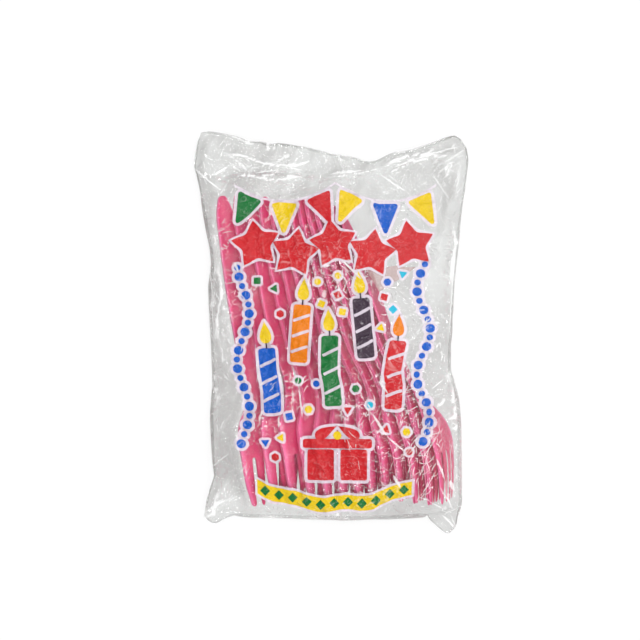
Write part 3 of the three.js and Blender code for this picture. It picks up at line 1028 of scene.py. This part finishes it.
def barShape(width, height, radius, grow=0.0):
    w, h = width / 2, height / 2
    return roundedShape([(w, -h), (w, h), (-w, h), (-w, -h)], radius, grow)


def discShape(radius, grow=0.0):
    return turnedShape(lambda angle: radius, grow, 22)


def starShape(radius, grow=0.0):
    return turnedShape(lambda angle: radius * (1 - 0.4 * abs(math.sin(2.5 * angle)) ** 0.9), grow)


def flameShape(width, height, grow=0.0):
    outline = []
    for k in range(28):
        angle = 2 * math.pi * k / 28
        belly = math.sin(angle / 2) ** 1.6
        outline.append((
            (width / 2 * belly + grow) * math.sin(angle),
            height / 2 * math.cos(angle) * (1 + grow / height * 2),
        ))
    return outline[::-1]


def placed(outline, x, y, turn=0.0):
    c, s = math.cos(math.radians(turn)), math.sin(math.radians(turn))
    return [(x + px * c - py * s, y + px * s + py * c) for px, py in outline]


# A band along a line, as one outline
def bandShape(heightAt, left, right, thickness, grow=0.0, steps=40):
    reach = grow + thickness / 2
    spots = np.linspace(left - grow, right + grow, steps)
    upper = [(x, heightAt(x) + reach) for x in spots]
    lower = [(x, heightAt(x) - reach) for x in spots]
    return lower + upper[::-1]


# Outlines by ink and by how far they lie above the film
layers = {}


def addDetail(ink, outline, lift=printLay["detailLift"]):
    layers.setdefault((ink, lift), []).append(outline)


def addMotif(ink, shape, x, y, turn=0.0, edge=printLay["outline"]):
    addDetail(ink, placed(shape(0), x, y, turn), printLay["inkLift"])
    addDetail("pale", placed(shape(edge), x, y, turn), printLay["paleLift"])


bunting = {
    "ends": (-50, 54),
    "top": 77,
    "arc": 52,
    "sag": 9,
    "string": 1.1,
    "flag": ((6.8, 0), (-6.8, 0), (0, -17)),
    "first": -41.5,
    "apart": 17.3,
    "inks": ("green", "yellow", "red", "yellow", "blue", "yellow"),
}


def stringHeight(x):
    share = (x - bunting["ends"][0]) / bunting["arc"] % 1
    return bunting["top"] - bunting["sag"] * 4 * share * (1 - share)


def printBunting():
    string = bandShape(stringHeight, *bunting["ends"], bunting["string"], steps=90)
    addDetail("pale", string, printLay["paleLift"])
    flag = lambda grow: roundedShape(bunting["flag"], 1.1, grow)
    for k, ink in enumerate(bunting["inks"]):
        x = bunting["first"] + bunting["apart"] * k
        slope = math.degrees(math.atan((stringHeight(x + 3) - stringHeight(x - 3)) / 6))
        addMotif(ink, flag, x, stringHeight(x) - 1, slope)


stars = {
    "count": 5,
    "radius": 12.4,
    "first": -38,
    "apart": 19.5,
    "height": 44,
    "swing": 9,
}


def printStars():
    star = lambda grow: starShape(stars["radius"], grow)
    for k in range(stars["count"]):
        swing = stars["swing"] * (-1) ** k
        x = stars["first"] + stars["apart"] * k
        addMotif("red", star, x, stars["height"] + swing / 4, 90 + swing)


# ink, place across and up the bag, height of the stem, turn
candles = (
    ("blue", -31, -24, 33, 5),
    ("orange", -15.5, 0, 30, -4),
    ("green", 0, -19, 36, 3),
    ("plum", 16, 3, 31, 5),
    ("red", 32, -21, 35, -4),
)
candleSize = {
    "stem": 8.6,
    "wickEdge": (2.4, 4, 0.6),
    "wick": (0.8, 3, 0.3),
    "flame": (8.4, 11.5),
    "stripe": (9, 1.5, 0.5),
    "stripeTurn": 24,
}


def printCandles():
    flame = lambda grow: flameShape(*candleSize["flame"], grow)
    for ink, x, y, height, turn in candles:
        lean = Vector((-math.sin(math.radians(turn)), math.cos(math.radians(turn))))
        middle = Vector((x, y))
        addMotif(ink, lambda grow: barShape(candleSize["stem"], height, 1.4, grow), x, y, turn)
        spot = middle + lean * (height / 2 + 1.2)
        wickEdge = placed(barShape(*candleSize["wickEdge"]), *spot, turn)
        addDetail("pale", wickEdge, printLay["paleLift"])
        addDetail("plum", placed(barShape(*candleSize["wick"]), *spot, turn))
        fire = "orange" if ink == "red" else "yellow"
        addMotif(fire, flame, *(middle + lean * (height / 2 + 8.2)), turn)
        for k in (-1, 0, 1):
            spot = middle + lean * (height * 0.27 * k)
            stripe = barShape(*candleSize["stripe"])
            addDetail("pale", placed(stripe, *spot, turn + candleSize["stripeTurn"]))


beads = {
    "count": 20,
    "radii": (1.6, 2.3),
    "top": 36,
    "apart": 4.75,
}


def printBeads():
    for k in range(beads["count"]):
        bead = lambda grow: discShape(beads["radii"][k % 2], grow)
        y = beads["top"] - beads["apart"] * k
        addMotif("blue", bead, -44 + 3 * math.sin(y / 8), y - 2)
        addMotif("blue", bead, 46 + 3.2 * math.sin(y / 7 + 1.4), y)


gift = {
    "place": (3, -66),
    "half": (13.6, 15.5, 1.2),
    "halfApart": 8.4,
    "lid": (35, 4.6, 1.2),
    "lidHeight": 10.6,
    "loop": (7.6, 12.5),
    "loopApart": 5.6,
    "loopHeight": 16.4,
    "loopTurn": 62,
    "knot": 2.1,
    "knotHeight": 14.6,
}


def printGift():
    x, y = gift["place"]
    half = lambda grow: barShape(*gift["half"], grow)
    loop = lambda grow: flameShape(*gift["loop"], grow)
    for side in (-1, 1):
        addMotif("red", half, x + side * gift["halfApart"], y)
        spot = x + side * gift["loopApart"], y + gift["loopHeight"]
        addMotif("red", loop, *spot, side * gift["loopTurn"])
    addMotif("red", lambda grow: barShape(*gift["lid"], grow), x, y + gift["lidHeight"])
    addDetail("yellow", placed(discShape(gift["knot"]), x, y + gift["knotHeight"]))


band = {
    "ends": (-38, 41),
    "low": -85.5,
    "rise": 9,
    "width": 7.2,
    "tiles": 11,
    "first": -34,
    "apart": 7.1,
    "tile": 2.6,
}


def bandHeight(x):
    return band["low"] + band["rise"] * ((x - 1) / 42) ** 2 + 0.8 * math.sin(x / 4)


def printBand():
    strip = lambda grow: bandShape(bandHeight, *band["ends"], band["width"], grow * 0.8)
    addMotif("yellow", strip, 0, 0)
    for k in range(band["tiles"]):
        x = band["first"] + band["apart"] * k
        addDetail("green", placed(regularShape(4, band["tile"]), x, bandHeight(x)))


def printConfetti():
    kinds = (
        lambda grow: regularShape(3, 2.5, grow),
        lambda grow: regularShape(4, 2.4, grow),
        lambda grow: discShape(1.7, grow),
        lambda grow: regularShape(6, 2.1, grow),
    )
    taken = [Vector(np.mean(outline, 0)) for outlines in layers.values() for outline in outlines]
    spots = []
    for _ in range(1500):
        spot = Vector((random.uniform(-39, 41), random.uniform(-64, 32)))
        onGift = abs(spot.x - gift["place"][0]) < 21 and spot.y < gift["place"][1] + 20
        offStems = all(abs(spot.x - x) > 7.4 or abs(spot.y - y) > 22 for _, x, y, _, _ in candles)
        offOthers = all((spot - other).length > printLay["confettiGap"] for other in taken + spots)
        if offStems and offOthers and not onGift:
            spots.append(spot)
    for k, spot in enumerate(spots[: printLay["confetti"]]):
        ink = ("blue", "yellow", "red", "green", "yellow", "red", "cyan")[k % 7]
        turn = random.uniform(0, 90)
        addMotif(ink, kinds[k % len(kinds)], *spot, turn, printLay["smallOutline"])
    print(f"print: {min(len(spots), printLay['confetti'])} confetti")


# A painted glint: a thin white sliver with pointed ends, bowed to one side
def addSliver(start, end, width, bow=0.0):
    length = (end - start).length
    sliver = []
    for side, steps in ((-1, range(13)), (1, range(12, -1, -1))):
        for t in (step / 12 for step in steps):
            swell = math.sin(math.pi * (0.04 + 0.92 * t))
            sliver.append((length * (t - 0.5), bow * swell + side * width / 2 * swell**0.6))
    way = end - start
    turn = math.degrees(math.atan2(way.y, way.x))
    addDetail("white", placed(sliver, *(start + end) / 2, turn), printLay["creaseLift"])


def printSharpFolds():
    for start, end, width in sharpFolds:
        addSliver(Vector(atPixel(start)), Vector(atPixel(end)), width)
    for centre, spread, angle, count in crackles:
        for _ in range(count):
            offset = Vector((random.gauss(0, spread[0]), random.gauss(0, spread[1]))) * pixel / 2
            way = math.radians(angle + random.gauss(0, 24))
            half = Vector((math.cos(way), math.sin(way))) * random.uniform(0.5, 2.6)
            spot = Vector(atPixel(centre)) + offset
            width = random.uniform(0.18, 0.5)
            addSliver(spot - half, spot + half, width, random.uniform(-0.25, 0.25) * half.length)
    print(f"print: {len(sharpFolds)} sharp folds, {sum(c[3] for c in crackles)} crackles")


def filmNormals():
    ways = np.gradient(frontPoints, axis=0), np.gradient(frontPoints, axis=1)
    normals = np.cross(*ways)
    return normals / np.linalg.norm(normals, axis=-1, keepdims=True)


# One flat shape, cut along the film's own grid so that it can follow each wrinkle
def cutShape(outline):
    bm = bmesh.new()
    x, y = np.array(outline).T
    u, v = planShares(x, y)
    made = bmesh.ops.create_circle(bm, cap_ends=True, segments=len(outline), radius=1)
    for vert, across, along in zip(made["verts"], u * acrossCount, v * alongCount):
        vert.co = (across, along, 0)
    for axis, shares in (((1, 0, 0), u * acrossCount), ((0, 1, 0), v * alongCount)):
        for line in range(math.ceil(shares.min()), math.ceil(shares.max())):
            everything = bm.verts[:] + bm.edges[:] + bm.faces[:]
            place = Vector(axis) * line
            bmesh.ops.bisect_plane(bm, geom=everything, plane_co=place, plane_no=axis)
    bmesh.ops.triangulate(bm, faces=bm.faces[:])
    bmesh.ops.recalc_face_normals(bm, faces=bm.faces[:])
    if bm.faces and sum(face.normal.z for face in bm.faces) < 0:
        bmesh.ops.reverse_faces(bm, faces=bm.faces[:])
    return bm


def makeInk(name):
    colour, opacity = inks[name]
    material, tree, place = newMaterial(name + "Ink")
    bump, white = addCreases(tree, place)
    speck = addNoise(tree, place, {"Scale": printLay["speckSize"], "Detail": 3})
    darker = tuple(printLay["speckTone"] * part for part in colour[:3]) + (1,)
    shader = addNode(tree, "ShaderNodeBsdfPrincipled", {
        "Base Color": addTint(tree, speck, colour, darker),
        "Roughness": printLay["gloss"],
        "Specular IOR Level": printLay["specular"],
        "Alpha": opacity,
        "Normal": bump,
    })
    # painted glints over the print, along the film's creases
    printGlint = addNode(tree, "ShaderNodeBsdfDiffuse", {"Color": filmFinish["hazeAndGlint"]})
    share = addMath(tree, "MULTIPLY", white, printLay["printGlintShare"] * filmFinish["creaseGlint"])
    addSurface(tree, mixShaders(tree, share, shader.outputs["BSDF"], printGlint.outputs["BSDF"]))
    return material


def makePrint():
    printBunting()
    printStars()
    printCandles()
    printBeads()
    printGift()
    printBand()
    printConfetti()
    printSharpFolds()
    addDetail("rose", [atPixel(spot) for spot in rosePatch], printLay["roseLift"])
    normals = filmNormals()
    for ink in inks:
        whole = bmesh.new()
        for (name, lift), outlines in layers.items():
            if name != ink:
                continue
            for outline in outlines:
                bm = cutShape(outline)
                crease = bm.verts.layers.float.new("crease")
                u, v, _ = np.array([vert.co for vert in bm.verts]).T
                places = onGrid(frontPoints, u, v) + lift * onGrid(normals, u, v)
                for vert, place, sharp in zip(bm.verts, places, onGrid(creaseGrid, u, v)):
                    vert.co = place
                    vert[crease] = sharp
                mesh = bpy.data.meshes.new("shape")
                bm.to_mesh(mesh)
                bm.free()
                whole.from_mesh(mesh)
                bpy.data.meshes.remove(mesh)
        piece = finishPiece(whole, ink + "Print", makeInk(ink))
        print(f"print: {ink}, {len(piece.data.polygons)} faces")


makePrint()


# The photo looks straight down on the pack
view = {
    "height": 0.85,
    "sharpHeight": 0.01,
    "pixels": 640,
    "sensor": 0.036,
}


def makeCamera():
    camera = bpy.data.cameras.new("overhead")
    camera.sensor_width = view["sensor"] / mm
    reach = view["pixels"] * pixel * mm
    camera.lens = camera.sensor_width * (view["height"] - view["sharpHeight"]) / reach
    x, y = atPixel((view["pixels"] / 2, view["pixels"] / 2))
    bpy.context.scene.camera = addToScene("overhead", camera, (x * mm, y * mm, view["height"]))


studio = {
    "floorSize": 3,
    "floorColour": (0.8, 0.8, 0.8, 1),
    "floorGlow": 0.82,
    "lamps": 9,
    "lampTurn": 10,
    "lampRings": ((0.3, 0.7), (0.6, 1.35), (0.95, 1.8)),  # reach and power
    "lampHeight": 0.9,
    "lampSize": 0.1,
    "worldSpan": (-0.8, 0.8),
    "worldLeft": 0.3,
    "worldRight": 1.25,
}


def makeLamp(name, place, power):
    lamp = bpy.data.lights.new(name, "AREA")
    lamp.shape = "RECTANGLE"
    lamp.size = lamp.size_y = studio["lampSize"]
    lamp.energy = power
    holder = addToScene(name, lamp, place)
    holder.rotation_euler = (-Vector(place)).to_track_quat("-Z", "Y").to_euler()


# A plain pale floor that looks white, and keeps its shadows
def makeFloor():
    material, tree, _ = newMaterial("paleFloor")
    rays = addNode(tree, "ShaderNodeLightPath").outputs
    seen = addMath(tree, "MAXIMUM", rays["Is Camera Ray"], rays["Is Glossy Ray"])
    seen = addMath(tree, "MAXIMUM", seen, rays["Is Transmission Ray"])
    share = addMath(tree, "MULTIPLY", seen, studio["floorGlow"])
    matt = addNode(tree, "ShaderNodeBsdfDiffuse", {"Color": studio["floorColour"]})
    glow = addNode(tree, "ShaderNodeEmission")
    addSurface(tree, mixShaders(tree, share, matt.outputs["BSDF"], glow.outputs["Emission"]))
    bm = bmesh.new()
    bmesh.ops.create_grid(bm, x_segments=1, y_segments=1, size=studio["floorSize"] / 2)
    makeObject(bm, "floor", material)


def lightScene():
    for k in range(studio["lamps"]):
        angle = math.radians(studio["lampTurn"] + 360 / studio["lamps"] * k)
        reach, power = studio["lampRings"][k % len(studio["lampRings"])]
        place = (reach * math.cos(angle), reach * math.sin(angle), studio["lampHeight"])
        makeLamp(f"softbox{k}", place, power)
    world = bpy.data.worlds.new("studio")
    bpy.context.scene.world = world
    world.use_nodes = True
    tree = world.node_tree
    sky = tree.nodes["Background"]
    sky.inputs["Color"].default_value = (1, 1, 1, 1)
    way = addNode(tree, "ShaderNodeTexCoord").outputs["Generated"]
    across = addNode(tree, "ShaderNodeSeparateXYZ", {0: way}).outputs["X"]
    fade = addStep(
        tree, across, studio["worldSpan"], studio["worldLeft"], studio["worldRight"]
    )
    tree.links.new(fade, sky.inputs["Strength"])
    bpy.context.scene.view_settings.view_transform = "Standard"


makeCamera()
makeFloor()
lightScene()
print("scene: ready")
